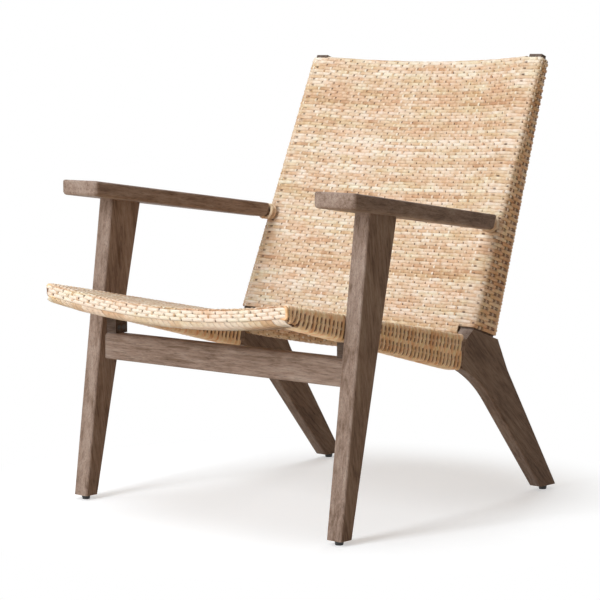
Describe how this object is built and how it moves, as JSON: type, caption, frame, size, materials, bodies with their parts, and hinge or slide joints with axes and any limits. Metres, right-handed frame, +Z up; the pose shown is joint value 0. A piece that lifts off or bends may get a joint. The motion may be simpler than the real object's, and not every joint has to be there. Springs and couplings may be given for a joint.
{
  "type": "woven lounge chair",
  "caption": "Low lounge chair: stained wood frame with tapered front legs, paddle arms and angled rear legs, carrying a seat and a leaning back of woven cane.",
  "frame": {"origin": "on the floor under the middle of the chair's bounding box", "axes": "+Z up, the chair faces -Y, +X is the sitter's left"},
  "size_m": [0.6672, 0.737, 0.7779],
  "materials": {
    "stained_wood": "satin brown stain",
    "cane": "natural, slight sheen",
    "dowel_wood": "bare beech",
    "fixing_steel": "plain zinc",
    "glide_plastic": "matt black"
  },
  "bodies": {
    "root": {"front_leg_left": "stained_wood", "front_leg_right": "stained_wood", "rear_leg_left": "stained_wood", "rear_leg_right": "stained_wood", "front_stretcher": "stained_wood", "seat_block_left": "stained_wood", "seat_block_right": "stained_wood", "arm_left": "stained_wood", "arm_right": "stained_wood", "seat_side_rail_left": "stained_wood", "seat_side_rail_right": "stained_wood", "seat_front_rail": "stained_wood", "seat_rear_rail": "stained_wood", "back_post_left": "stained_wood", "back_post_right": "stained_wood", "back_top_rail": "stained_wood", "back_bottom_rail": "stained_wood", "woven_seat": "cane", "woven_back": "cane", "arm_collar_left": "cane", "arm_collar_right": "cane", "arm_dowels": "dowel_wood", "stretcher_dowels": "dowel_wood", "seat_dowels": "dowel_wood", "side_rail_dowels": "dowel_wood", "front_rail_dowels": "dowel_wood", "rear_rail_dowels": "dowel_wood", "post_dowels": "dowel_wood", "back_rail_dowels": "dowel_wood", "glide_nails": "fixing_steel", "block_screws": "fixing_steel", "glides": "glide_plastic"}
  },
  "joints": []
}
